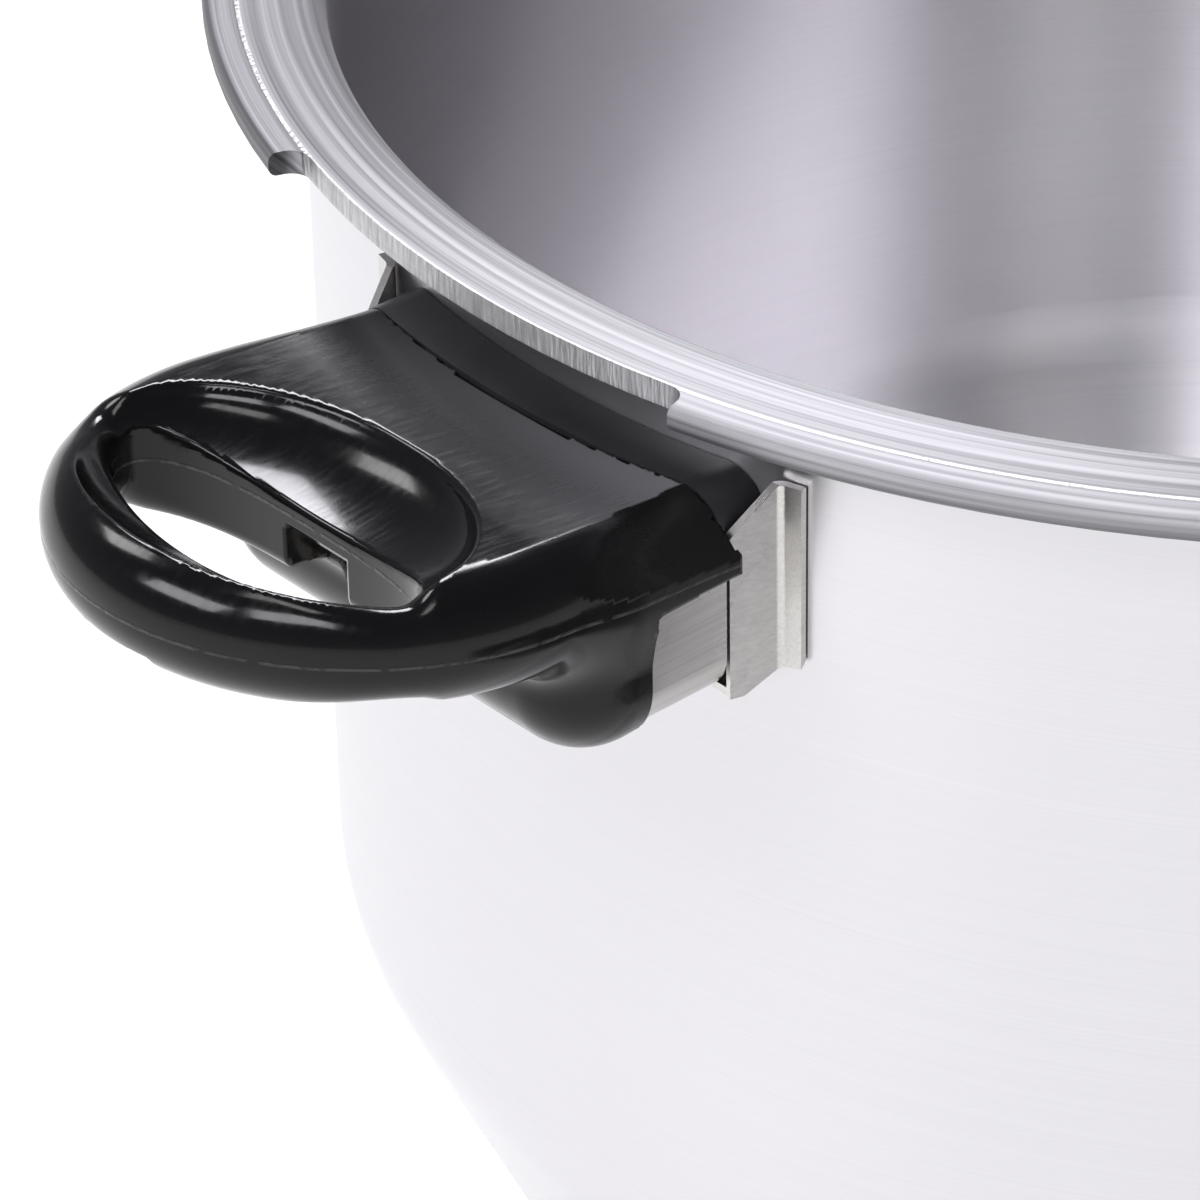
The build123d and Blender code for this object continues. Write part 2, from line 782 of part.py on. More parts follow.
# ---- pressure regulator: a weight that sits loose on the vent pipe ----
with BuildPart() as regulator_weight:
    with BuildSketch(lid.offset(weight_bottom)):
        Circle(weight_radius)
        Circle(nipple_radius + 0.4, mode=Mode.SUBTRACT)
    extrude(amount=nipple_top + 0.2 - weight_bottom)
    with BuildSketch(lid.offset(nipple_top + 0.2)):
        Circle(weight_radius)
    extrude(amount=weight_top - nipple_top - 0.2)
    with BuildSketch(lid.offset(nipple_top + 0.2)):
        Circle(vent_bore - 0.2)
    extrude(amount=-1.4, taper=30)
    with BuildSketch(across(lid, -weight_radius, -nipple_top + 3)):
        Circle(1.3)
    extrude(amount=2 * weight_radius, mode=Mode.SUBTRACT)
    chamfer(edges().group_by(Axis.Z)[0].sort_by(SortBy.LENGTH)[-1], 1.0)
save(regulator_weight, "regulator_weight")

with BuildPart() as regulator_cap:
    with BuildSketch(lid.offset(cap_bottom)):
        Circle(cap_radius)
    extrude(amount=cap_top - cap_bottom)
    fillet(edges().group_by(Axis.Z)[-1], 4.0)
    with BuildSketch(lid.offset(cap_bottom)):
        Circle(weight_radius + gap / 2)
    extrude(amount=weight_top + gap / 2 - cap_bottom, mode=Mode.SUBTRACT)
    with BuildSketch(lid.offset(cap_bottom)):
        with PolarLocations(cap_radius + 0.9, 16):
            Circle(1.8)
    extrude(amount=cap_top - cap_bottom - 5, mode=Mode.SUBTRACT)
save(regulator_cap, "regulator_cap")

# ---- float valve: rises with the pressure and shows through the handle ----
float_seal_top = float_boss_under - float_travel - 4 * gap
with BuildPart() as float_pin:
    with BuildSketch(lid.offset(float_seal_top - float_seal_height - float_foot)):
        with Locations((float_x, 0)):
            Circle(float_seal_radius - 0.7)
    extrude(amount=float_foot - gap)
    with BuildSketch(lid.offset(float_seal_top - float_seal_height - float_foot)):
        with Locations((float_x, 0)):
            Circle(float_shaft)
    extrude(amount=float_boss_top - float_seal_top + float_seal_height + float_foot + 1)
    with BuildSketch(lid.offset(float_boss_top + gap)):
        with Locations((float_x, 0)):
            Circle(float_head)
    extrude(amount=float_head_top - float_boss_top - gap)
    fillet(edges().group_by(Axis.Z)[-1], 0.8)
save(float_pin, "float_pin")

with BuildPart() as float_seal:
    with BuildSketch(lid.offset(float_seal_top - float_seal_height)):
        with Locations((float_x, 0)):
            Circle(float_seal_radius)
            Circle(float_shaft, mode=Mode.SUBTRACT)
    extrude(amount=float_seal_height)
    fillet(edges().group_by(Axis.Z)[-1].sort_by(SortBy.LENGTH)[-1], 0.5)
save(float_seal, "float_seal")

with BuildPart() as safety_plug:
    for bottom, top, radius in (
        (plug_boss_under - 2.2, plug_boss_under - gap, plug_hole + 1.6),
        (plug_boss_under - 2.2, plug_boss_top + 2.2, plug_hole - gap / 2),
        (plug_boss_top + gap, plug_boss_top + 2.6, plug_hole + 2.5),
    ):
        with BuildSketch(lid.offset(bottom)):
            with Locations((plug_x, plug_y)):
                Circle(radius)
        extrude(amount=top - bottom)
    fillet(edges().group_by(Axis.Z)[-1], 1.2)
    fillet(edges().group_by(Axis.Z)[0], 1.0)
save(safety_plug, "safety_plug")


# ================= lid handle and lock =================
cover_screws = [(cover_screw_u, -cover_screw_v), (cover_screw_u, cover_screw_v), (cover_end_screw_u, 0)]

with BuildPart() as lid_bracket:
    with BuildSketch(lid.offset(plate_bottom)):
        with Locations(((plate_start + plate_end) / 2, 0)):
            Rectangle(plate_end - plate_start, 2 * plate_half_width)
        fillet(vertices(), 3.0)
        with Locations(*cover_screws[:2]):
            Circle(cover_screw_radius + gap, mode=Mode.SUBTRACT)
        with Locations((lid_rivet_u, -lid_rivet_v), (lid_rivet_u, lid_rivet_v)):
            Circle(lid_rivet_radius, mode=Mode.SUBTRACT)
        with Locations((tooth_u + tooth_thickness / 2 - lock_travel / 2, 0)):
            Rectangle(tooth_thickness + lock_travel + 2, 2 * latch_half_width + 2, mode=Mode.SUBTRACT)
    extrude(amount=plate_thickness)
save(lid_bracket, "lid_bracket")

with BuildPart() as lid_rivets:
    with BuildSketch(lid.offset(rim_top - lid_thickness + gap)):
        with Locations((lid_rivet_u, -lid_rivet_v), (lid_rivet_u, lid_rivet_v)):
            Circle(lid_rivet_radius - gap / 2)
    extrude(amount=plate_bottom + plate_thickness + 1 - rim_top + lid_thickness)
    with BuildSketch(lid.offset(plate_bottom + plate_thickness + gap)):
        with Locations((lid_rivet_u, -lid_rivet_v), (lid_rivet_u, lid_rivet_v)):
            Circle(lid_rivet_radius + 0.5)
    extrude(amount=1.6)
    fillet(edges().group_by(Axis.Z)[-1], 0.9)
save(lid_rivets, "lid_rivets")

with BuildPart() as lid_handle_base:
    with BuildSketch(lid.offset(base_bottom)):
        with BuildLine():
            Polyline(
                (base_start, -15.3),
                (170, -15.3),
                (245, -14.3),
                (300, -16.3),
                (grip_end, -16.3),
                (grip_end, 16.3),
                (300, 16.3),
                (245, 14.3),
                (170, 15.3),
                (base_start, 15.3),
                close=True,
            )
        make_face()
        fillet(vertices().sort_by(Axis.X)[-2:], 13.0)
        fillet(vertices().sort_by(Axis.X)[:2], 3.0)
    extrude(amount=base_top - base_bottom)
    fillet(edges().group_by(Axis.Z)[0], 3.0)
    with BuildSketch(lid.offset(base_bottom)):
        with Locations((base_start, 0)):
            Rectangle(
                latch_pocket_u - base_start,
                2 * latch_half_width + 2,
                align=(Align.MIN, Align.CENTER),
            )
        with Locations(*cover_screws):
            Circle(cover_screw_radius + gap)
    extrude(amount=base_top - base_bottom, mode=Mode.SUBTRACT)
    with BuildSketch(lid.offset(base_bottom)):
        with Locations(*cover_screws):
            Circle(cover_screw_head + 0.4)
    extrude(amount=cover_screw_sink, mode=Mode.SUBTRACT)
save(lid_handle_base, "lid_handle_base")

# cover sections: distance out, half width, top, corner radius
cover_sections = (
    (nose_u, 10.0, 38.0, 5.0),
    (nose_u + 12, 13.0, 41.5, 6.0),
    (122.0, 15.5, 42.0, 6.0),
    (182.0, 15.3, 42.0, 6.0),
    (245.0, 14.5, 39.5, 7.0),
    (296.0, 16.3, 38.5, 7.0),
    (grip_end - 4, 13.5, 35.5, 7.0),
    (grip_end, 9.0, 30.0, 7.0),
)
cover_floor = 2.0

with BuildPart() as lid_handle_cover:
    for u, half_width, top, radius in cover_sections:
        with BuildSketch(across(lid, u)):
            with Locations((0, (top + cover_floor) / 2)):
                RectangleRounded(2 * half_width, top - cover_floor, radius)
    loft()
    with BuildSketch(side_of(lid)):
        with BuildLine():
            Polyline(
                (nose_u - 1, cover_under_nose),
                (bar_start, cover_under_nose),
                (plate_start - 1, plate_bottom + plate_thickness + gap),
                (plate_end + 0.5, plate_bottom + plate_thickness + gap),
                (plate_end + 0.5, base_top + gap),
                (grip_end + 1, base_top + gap),
                (grip_end + 1, 0),
                (nose_u - 1, 0),
                close=True,
            )
        make_face()
    extrude(amount=30, both=True, mode=Mode.SUBTRACT)
    with BuildSketch(lid.offset(base_top)):
        with Locations(((nose_u + 4 + channel_end) / 2, 0)):
            Rectangle(channel_end - nose_u - 4, 2 * channel_half_width)
    extrude(amount=channel_top - base_top, mode=Mode.SUBTRACT)
    with BuildSketch(lid.offset(rib_bottom)):
        with Locations((rib_u + rib_thickness / 2, 0)):
            Rectangle(rib_thickness, 2 * channel_half_width)
    extrude(amount=bar_bottom - 0.5 - rib_bottom)
    with BuildSketch(lid.offset(channel_top - 1)):
        with Locations((button_u - lock_travel / 2, 0)):
            Rectangle(2 * button_half_length + lock_travel + 1, 2 * button_half_width + 1)
        with Locations((float_x, 0)):
            Circle(float_head + 0.4)
    extrude(amount=8, mode=Mode.SUBTRACT)
    with BuildSketch(lid.offset(base_top)):
        with Locations(*cover_screws):
            Circle(cover_screw_radius)
    extrude(amount=cover_screw_length - 2, mode=Mode.SUBTRACT)
save(lid_handle_cover, "lid_handle_cover")

with BuildPart() as lid_handle_screws:
    with BuildSketch(lid.offset(base_bottom + cover_screw_sink)):
        with Locations(*cover_screws):
            Circle(cover_screw_head)
    extrude(amount=-cover_screw_sink + 0.4)
    with BuildSketch(lid.offset(base_bottom + cover_screw_sink)):
        with Locations(*cover_screws):
            Circle(cover_screw_radius - gap / 2)
    extrude(amount=cover_screw_length)
    with BuildSketch(lid.offset(base_bottom + 0.4)):
        with Locations(*cover_screws):
            Rectangle(3.6, 0.8)
        with Locations(*cover_screws):
            Rectangle(0.8, 3.6)
    extrude(amount=1.0, mode=Mode.SUBTRACT)
save(lid_handle_screws, "lid_handle_screws")

with BuildPart() as lock_bar:
    with BuildSketch(lid.offset(bar_bottom)):
        with Locations(((bar_start + bar_end) / 2, 0)):
            Rectangle(bar_end - bar_start, 2 * bar_half_width)
        fillet(vertices(), 1.5)
    extrude(amount=bar_thickness)
    with BuildSketch(lid.offset(tooth_bottom)):
        with Locations((tooth_u + tooth_thickness / 2, 0)):
            Rectangle(tooth_thickness, 2 * latch_half_width)
    extrude(amount=bar_bottom - tooth_bottom + 0.5)
save(lock_bar, "lock_bar")

with BuildPart() as lock_button:
    with BuildSketch(lid.offset(bar_bottom + bar_thickness)):
        with Locations((button_u, 0)):
            Rectangle(2 * button_half_length, 2 * button_half_width)
        fillet(vertices(), 2.0)
    extrude(amount=button_top - bar_bottom - bar_thickness - 1)
    with BuildSketch(lid.offset(button_top - 1.7)):
        with Locations((button_u, 0)):
            Rectangle(2 * button_half_length + 6, 2 * button_half_width + 4)
        fillet(vertices(), 4.0)
    extrude(amount=2.6)
    fillet(edges().group_by(Axis.Z)[-1], 1.0)
    with BuildSketch(lid.offset(button_top + 0.9)):
        with Locations((button_u, 0)):
            with GridLocations(3.2, 0, 5, 1):
                Rectangle(1.4, 12)
    extrude(amount=-0.8, mode=Mode.SUBTRACT)
save(lock_button, "lock_button")

spring_length = tooth_u - rib_u - rib_thickness - 2 * spring_wire - 2 * gap
spring_start = lid.origin + Vector(rib_u + rib_thickness + spring_wire + gap, 0, spring_z)
with BuildPart() as lock_spring:
    with BuildLine():
        coil = Helix(spring_length / spring_turns, spring_length, spring_radius, spring_start, (1, 0, 0))
    with BuildSketch(Plane(origin=coil @ 0, z_dir=coil % 0)):
        Circle(spring_wire)
    sweep()
save(lock_spring, "lock_spring")
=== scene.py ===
import math

import bpy
import numpy as np
from mathutils import Matrix, Vector


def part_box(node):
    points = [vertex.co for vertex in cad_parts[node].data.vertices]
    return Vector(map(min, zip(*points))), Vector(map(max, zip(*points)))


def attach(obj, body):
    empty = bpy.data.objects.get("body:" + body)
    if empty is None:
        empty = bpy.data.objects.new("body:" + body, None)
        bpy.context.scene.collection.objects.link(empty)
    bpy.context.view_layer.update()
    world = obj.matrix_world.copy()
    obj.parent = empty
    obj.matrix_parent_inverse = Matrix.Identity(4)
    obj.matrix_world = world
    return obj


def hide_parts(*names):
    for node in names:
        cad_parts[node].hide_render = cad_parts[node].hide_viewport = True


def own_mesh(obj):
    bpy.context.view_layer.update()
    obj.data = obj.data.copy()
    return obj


# Stovetop pressure cooker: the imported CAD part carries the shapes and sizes, and this script adds the looks.
# Metres, +Z up, in the CAD frame. The helper handle and the lock spring are rebuilt as finer meshes.

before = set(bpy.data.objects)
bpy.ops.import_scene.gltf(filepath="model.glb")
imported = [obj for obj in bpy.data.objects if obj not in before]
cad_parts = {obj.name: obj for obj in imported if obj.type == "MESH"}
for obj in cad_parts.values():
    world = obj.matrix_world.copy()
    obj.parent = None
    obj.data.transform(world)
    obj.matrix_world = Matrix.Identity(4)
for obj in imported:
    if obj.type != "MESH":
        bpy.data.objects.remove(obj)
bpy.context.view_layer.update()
mm = 0.001

rim_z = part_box("pot_body")[1].z
lid_centre = (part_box("lid_shell")[0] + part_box("lid_shell")[1]) / 2
spring_low, spring_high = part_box("lock_spring")

# ---- camera: close on the helper handle, from outside and above (angles in degrees, lens in mm) ----
camera_place = Vector((-0.4944, -0.4313, 0.5066))
camera_heading = -41.17
camera_pitch = 33.03
camera_roll = -1.12
camera_lens = 180.0
camera_sensor = 36.0
camera_near = 0.01
camera_far = 100.0

# ---- pot rim, for the marks that machining left on it and the painted shade on its flange top ----
notch_radius = 0.1307
notch_cut_width = 0.0002
flange_thickness = 0.003
flange_inner_radius = notch_radius - 0.0112
flange_inner_edge = 0.002
flange_blend = 0.2 * flange_thickness

# ---- noise: most of what a noise node gives lies in this range ----
noise_low = 0.3
noise_high = 0.7

# ---- metals and plastics, as linear colours ----
aluminium_dark = (0.67, 0.66, 0.68)
aluminium_light = (0.72, 0.71, 0.73)
aluminium_stain = (0.67, 0.65, 0.655)
# painted shade: the flange top's colour is set dark to offset the strong back light; the grain between the two
# tones is real
flange_shade_dark = (0.15, 0.15, 0.157)
flange_shade_light = (0.36, 0.36, 0.372)
fresh_cut = (0.95, 0.95, 0.95)
rivet_clean = (0.80, 0.79, 0.785)
rivet_dirty = (0.62, 0.61, 0.60)
steel_colour = (0.63, 0.615, 0.595)
# painted sheen: a pale colour on the helper handle's shelf that stands in for its reflected highlight
painted_shelf_sheen = (0.16, 0.158, 0.168)
mould_flash = (0.08, 0.075, 0.07)

# ---- helper handle, in millimetres: u is outward, v is sideways and d is the drop below the rim ----
seam_radius = 129.6
seam_corner = 125.8
loop_rise = math.tan(math.radians(5.7))
loop_top = 12.4
loop_bottom = 27.6
loop_rounding = 7.2
root_half_width = 30.8
loop_start = 151.8
loop_half_width = 33.0
loop_tip = 186.8
shelf_hollow = 0.9
crease_half_width = 29.0
shelf_end = 150.0
shelf_fade = 30.0
shelf_lead = 0.4
# where the painted sheen on the shelf begins, across the handle
sheen_start = 26.0
boss_end = 149.4
boss_half_width = 32.0
boss_corner = 9.6
boss_bottom = 40.4
boss_rounding = 9.5
boss_blend = 5.0
boss_lip = 1.2
boss_lip_slope = 0.6
boss_lip_rounding = 2.0
hole_wall = 157.2
hole_centre = 163.6
hole_half_width = 11.2
hole_half_length = 24.0
hole_corner = 9.0
hole_edge_at_wall = 1.6
hole_edge_growth = 4.2
hole_edge_start = 1.5
hole_edge_reach = 8.0
dish_centre = 163.2
dish_half_width = 18.1
dish_half_length = 25.7
dish_depth = 6.5
dish_edge = 0.7
guard_top = 21.4
guard_end = 137.6
core_half_width = 29.9
core_bottom = 37.4
core_bend = 6.0
core_edge = 0.25
pocket_half_width = 15.0
pocket_top = 18.0
pocket_bottom = 36.0
pocket_end = 140.5
screw_drop = 27.0
bore_radius = 2.6
recess_start = 146.0
recess_half_width = 5.1
recess_top = 18.5
recess_edge = 0.3
mesh_step = 0.6
mesh_margin = 3.0

# ---- lock spring ----
spring_wire = 0.00045
spring_turns = 9
spring_closed_share = 0.06
spring_steps = 26
spring_sides = 10


# ================= node helpers =================
class Finish:
    """A Principled material. Constants go on the shader's sockets, and the methods below add nodes."""

    def __init__(self, name, colour, roughness, metallic=0.0, **sockets):
        self.material = bpy.data.materials.new(name)
        self.material.use_nodes = True
        self.tree = self.material.node_tree
        self.shader = self.tree.nodes["Principled BSDF"]
        self.set("Base Color", (*colour, 1.0))
        self.set("Roughness", roughness)
        self.set("Metallic", metallic)
        for socket, value in sockets.items():
            self.set(socket.replace("_", " "), value)
        self.material.diffuse_color = (*colour, 1.0)
        self.place = self.node("ShaderNodeTexCoord").outputs["Object"]

    def set(self, socket, value):
        """Put a constant, or join a node's output, on one of the shader's sockets."""
        if isinstance(value, bpy.types.NodeSocket):
            self.tree.links.new(value, self.shader.inputs[socket])
        else:
            self.shader.inputs[socket].default_value = value

    def node(self, kind, *inputs, **settings):
        """Add a node with these properties, feed its inputs in order, and return it."""
        made = self.tree.nodes.new(kind)
        for key, value in settings.items():
            setattr(made, key, value)
        for socket, value in zip(made.inputs, inputs):
            if isinstance(value, bpy.types.NodeSocket):
                self.tree.links.new(value, socket)
            elif value is not None:
                socket.default_value = value
        return made

    def math(self, operation, *inputs, clamp=False):
        """A Math node's result."""
        return self.node("ShaderNodeMath", *inputs, operation=operation, use_clamp=clamp).outputs[0]

    def split(self, vector):
        """A vector's x, y and z."""
        return self.node("ShaderNodeSeparateXYZ", vector).outputs

    def join(self, x, y, z):
        """A vector from its three parts."""
        return self.node("ShaderNodeCombineXYZ", x, y, z).outputs[0]

    def scaled(self, vector, factors):
        """A vector stretched along its axes."""
        return self.node("ShaderNodeVectorMath", vector, factors, operation="MULTIPLY").outputs[0]

    def noise(self, vector, scale, detail=3.0, roughness=0.55):
        """Noise from 0 to 1 at that many cells to the metre."""
        made = self.node("ShaderNodeTexNoise")
        self.tree.links.new(vector, made.inputs["Vector"])
        made.inputs["Scale"].default_value = scale
        made.inputs["Detail"].default_value = detail
        made.inputs["Roughness"].default_value = roughness
        return made.outputs["Fac"]

    def remap(self, value, low, high, to_low=0.0, to_high=1.0):
        """A value's range low..high spread over to_low..to_high, held at its ends."""
        return self.node("ShaderNodeMapRange", value, low, high, to_low, to_high).outputs[0]

    def spread(self, noise, to_low=0.0, to_high=1.0):
        """A noise's usual range spread over to_low..to_high."""
        return self.remap(noise, noise_low, noise_high, to_low, to_high)

    def band(self, value, centre, half_width):
        """1 where a value is within half_width of centre, falling to 0 at twice that."""
        off = self.math("ABSOLUTE", self.math("SUBTRACT", value, centre))
        return self.remap(off, half_width, 2 * half_width, 1.0, 0.0)

    def blend(self, factor, first, second):
        """The first colour where factor is 0 and the second where it is 1."""
        made = self.node("ShaderNodeMix", data_type="RGBA")
        self.tree.links.new(factor, made.inputs["Factor"])
        for socket, colour in ((made.inputs[6], first), (made.inputs[7], second)):
            if isinstance(colour, bpy.types.NodeSocket):
                self.tree.links.new(colour, socket)
            else:
                socket.default_value = (*colour, 1.0)
        return made.outputs[2]

    def bump(self, height, depth, strength=1.0, under=None):
        """Raise the surface by a height of 0 to 1 times depth in metres, over any bump under it."""
        made = self.node("ShaderNodeBump")
        made.inputs["Strength"].default_value = strength
        made.inputs["Distance"].default_value = depth
        self.tree.links.new(height, made.inputs["Height"])
        if under is not None:
            self.tree.links.new(under, made.inputs["Normal"])
        return made.outputs[0]

    def turned_axes(self, centre):
        """Radius from an upright axis through centre, and height."""
        x, y, z = self.split(self.place)
        dx = self.math("SUBTRACT", x, centre[0])
        dy = self.math("SUBTRACT", y, centre[1])
        squares = self.math("ADD", self.math("MULTIPLY", dx, dx), self.math("MULTIPLY", dy, dy))
        return self.math("SQRT", squares), z

    def turned_grain(self, centre, along, across):
        """Noise drawn out along circles about an upright axis, as spinning and turning leave it."""
        x, y, _ = self.split(self.place)
        radius, height = self.turned_axes(centre)
        profile = self.math("SUBTRACT", radius, height)
        stretched = self.join(
            self.math("MULTIPLY", x, along),
            self.math("MULTIPLY", y, along),
            self.math("MULTIPLY", profile, across),
        )
        return self.noise(stretched, 1.0, 4.0, 0.65)


# ================= materials =================
def turned_aluminium(name, centre, milled_rim_with_painted_shade=False):
    """Spun aluminium brushed in circles, with faint stains. The pot's rim also keeps its milling marks, and
    its flange top gets a darker colour as painted shade.
    """
    finish = Finish(name, (0.76, 0.745, 0.77), 0.3, 1.0, Anisotropic=0.8, Anisotropic_Rotation=0.25)
    fine = finish.turned_grain(centre, along=9.0, across=5200.0)
    broad = finish.turned_grain(centre, along=5.0, across=900.0)
    cloud = finish.noise(finish.place, 16.0, 5.0, 0.6)
    around = finish.node("ShaderNodeTangent", direction_type="RADIAL", axis="Z").outputs[0]
    finish.set("Tangent", around)
    shade = finish.math("ADD", finish.math("MULTIPLY", fine, 0.8), finish.math("MULTIPLY", broad, 0.2))
    colour = finish.blend(finish.spread(shade), aluminium_dark, aluminium_light)
    stained = finish.remap(cloud, 0.45, 0.75, 0.0, 0.25)
    colour = finish.blend(stained, colour, aluminium_stain)
    roughness = finish.spread(fine, 0.29, 0.34)
    normal = finish.bump(fine, depth=0.000008, strength=0.3)
    if milled_rim_with_painted_shade:
        colour, roughness, normal = mill_rim_with_painted_shade(finish, centre, broad, colour, roughness, normal)
    finish.set("Base Color", colour)
    finish.set("Roughness", roughness)
    finish.set("Normal", normal)
    return finish.material


def mill_rim_with_painted_shade(finish, centre, broad, colour, roughness, normal):
    """Add the flange's duller turned top, with its colour painted darker as shade against the back light, and
    the upright tool marks on the faces of its notches.
    """
    radius, height = finish.turned_axes(centre)
    flange_underside = rim_z - flange_thickness
    rim = finish.remap(height, flange_underside - flange_blend, flange_underside)
    outer = finish.remap(radius, flange_inner_radius, flange_inner_radius + flange_inner_edge)
    top = finish.math("MULTIPLY", rim, outer)
    # painted shade: the flange top's darker colour stands in for less light there; the broad grain in it is
    # real
    painted_shade_top = finish.blend(finish.remap(broad, 0.35, 0.65), flange_shade_dark, flange_shade_light)
    colour = finish.blend(top, colour, painted_shade_top)
    cut = finish.math("MULTIPLY", finish.band(radius, notch_radius, notch_cut_width), rim)
    marks = finish.noise(finish.scaled(finish.place, (1.0, 1.0, 0.12)), 1500.0, 2.0, 0.6)
    scratched = finish.math("MULTIPLY", cut, marks)
    colour = finish.blend(scratched, colour, fresh_cut)
    normal = finish.bump(scratched, depth=0.00025, strength=0.8, under=normal)
    ridged = finish.math("MULTIPLY", broad, top)
    normal = finish.bump(ridged, depth=0.00012, strength=0.6, under=normal)
    roughness = finish.math("ADD", roughness, finish.math("MULTIPLY", top, 0.22))
    return colour, roughness, normal


def cast_aluminium(name):
    """Pressed aluminium with a fine pitted skin, for the rivets."""
    finish = Finish(name, (0.78, 0.77, 0.765), 0.38, 1.0)
    grit = finish.noise(finish.place, 1800.0, 4.0)
    dirt = finish.noise(finish.place, 260.0, 4.0)
    finish.set("Base Color", finish.blend(finish.remap(dirt, 0.4, 0.7), rivet_clean, rivet_dirty))
    finish.set("Roughness", finish.spread(dirt, 0.32, 0.5))
    finish.set("Normal", finish.bump(grit, depth=0.00006, strength=0.5))
    return finish.material


def satin_steel(name, grain_axis):
    """Rolled stainless steel with a straight grain along one axis (0 is X, 1 is Y, 2 is Z)."""
    finish = Finish(name, steel_colour, 0.3, 1.0)
    stretch = [2600.0, 2600.0, 2600.0]
    stretch[grain_axis] = 60.0
    grain = finish.noise(finish.scaled(finish.place, stretch), 1.0, 3.0, 0.6)
    smear = finish.noise(finish.place, 110.0, 4.0)
    darker = tuple(0.84 * c for c in steel_colour)
    finish.set("Base Color", finish.blend(finish.spread(grain), steel_colour, darker))
    finish.set("Roughness", finish.spread(smear, 0.24, 0.36))
    finish.set("Normal", finish.bump(grain, depth=0.00003, strength=0.5))
    return finish.material


def plated_steel(name, colour, stain):
    """Plated or turned small metal with fine rings of tool marks and a little tarnish."""
    finish = Finish(name, colour, 0.25, 1.0)
    marks = finish.noise(finish.scaled(finish.place, (700.0, 700.0, 5200.0)), 1.0, 3.0)
    tarnish = finish.noise(finish.place, 420.0, 5.0)
    finish.set("Base Color", finish.blend(finish.remap(tarnish, 0.5, 0.75, 0.0, 0.7), colour, stain))
    finish.set("Roughness", finish.spread(tarnish, 0.18, 0.38))
    finish.set("Normal", finish.bump(marks, depth=0.00003, strength=0.4))
    return finish.material


def moulded_phenolic(name, colour, roughness, coat=0.2, helper=False):
    """Moulded phenolic: deep gloss over a skin that is never quite flat, with dust and fine rubs. On the
    helper handle it also carries a painted sheen on the shelf, and the mould line.
    """
    coating = {"Coat_Weight": coat, "Coat_Roughness": 0.06, "Coat_IOR": 1.3}
    finish = Finish(name, colour, roughness, IOR=1.32, **coating)
    wave = finish.noise(finish.place, 70.0, 2.0)
    grain = finish.noise(finish.place, 2600.0, 3.0)
    rubs = finish.noise(finish.scaled(finish.place, (180.0, 1400.0, 700.0)), 1.0, 3.0, 0.7)
    specks = finish.remap(finish.noise(finish.place, 3100.0, 1.0), 0.74, 0.80)
    lit = tuple(1.5 * c for c in colour)
    dusty = tuple(2.6 * c + 0.01 for c in colour)
    shade = finish.blend(finish.remap(wave, 0.35, 0.7, 0.0, 0.5), colour, lit)
    shade = finish.blend(finish.math("MULTIPLY", specks, 0.5), shade, dusty)
    worn = finish.math("ADD", finish.remap(rubs, 0.4, 0.75, 0.0, 0.10), roughness)
    normal = finish.bump(wave, depth=0.00025, strength=0.35)
    normal = finish.bump(grain, depth=0.000006, strength=0.35, under=normal)
    if helper:
        shade, worn = satin_shelf_with_painted_sheen(finish, shade, worn)
        shade, worn, normal = mould_line(finish, shade, worn, normal)
    finish.set("Base Color", shade)
    finish.set("Roughness", worn)
    finish.set("Normal", normal)
    return finish.material


def satin_shelf_with_painted_sheen(finish, shade, worn):
    """Dull the helper handle's flat shelf towards the pot, and paint a pale sheen on the top of its near side:
    a painted highlight in the base colour, not a reflection.
    """
    x, y, _ = finish.split(finish.place)
    _, _, up = finish.split(finish.node("ShaderNodeTexCoord").outputs["Normal"])
    satin = finish.remap(x, -shelf_end * mm, -seam_radius * mm, 0.0, 0.2)
    inward = finish.remap(x, -shelf_end * mm, -seam_corner * mm)
    flat = finish.remap(up, 0.97, 0.995)
    near_side = finish.remap(y, sheen_start * mm, -crease_half_width * mm)
    # painted highlight: the shelf's up-facing near side is given a paler base colour in place of a sheen
    painted_sheen_mask = finish.math("MULTIPLY", finish.math("MULTIPLY", inward, flat), near_side)
    return finish.blend(painted_sheen_mask, shade, painted_shelf_sheen), finish.math("ADD", worn, satin)


def mould_line(finish, shade, worn, normal):
    """A broken, slightly raised line where the helper handle's mould halves met, at the loop's mid-height."""
    x, _, z = finish.split(finish.place)
    middle = rim_z - (loop_top + loop_bottom) / 2 * mm
    rise = finish.math("MULTIPLY", finish.math("ADD", x, seam_corner * mm), loop_rise)
    line = finish.band(finish.math("ADD", z, rise), middle, 0.00012)
    broken = finish.remap(finish.noise(finish.place, 500.0, 2.0), 0.35, 0.6)
    line = finish.math("MULTIPLY", line, broken)
    shade = finish.blend(finish.math("MULTIPLY", line, 0.5), shade, mould_flash)
    worn = finish.math("ADD", worn, finish.math("MULTIPLY", line, 0.15))
    normal = finish.bump(line, depth=0.0001, strength=0.8, under=normal)
    return shade, worn, normal


def silicone(name, colour):
    """Soft rubber with a dusty sheen and fine mould texture."""
    soft = {"Sheen_Weight": 0.3, "Subsurface_Weight": 0.05, "Subsurface_Scale": 0.002}
    finish = Finish(name, colour, 0.55, **soft)
    dust = finish.noise(finish.place, 120.0, 5.0)
    skin = finish.noise(finish.place, 2200.0, 2.0)
    paler = tuple(min(1.0, 1.35 * c + 0.02) for c in colour)
    finish.set("Base Color", finish.blend(finish.remap(dust, 0.4, 0.75), colour, paler))
    finish.set("Roughness", finish.spread(dust, 0.48, 0.68))
    finish.set("Normal", finish.bump(skin, depth=0.00005, strength=0.4))
    return finish.material


def placed(name, data):
    """A new object in the scene that holds this data."""
    made = bpy.data.objects.new(name, data)
    bpy.context.scene.collection.objects.link(made)
    return made


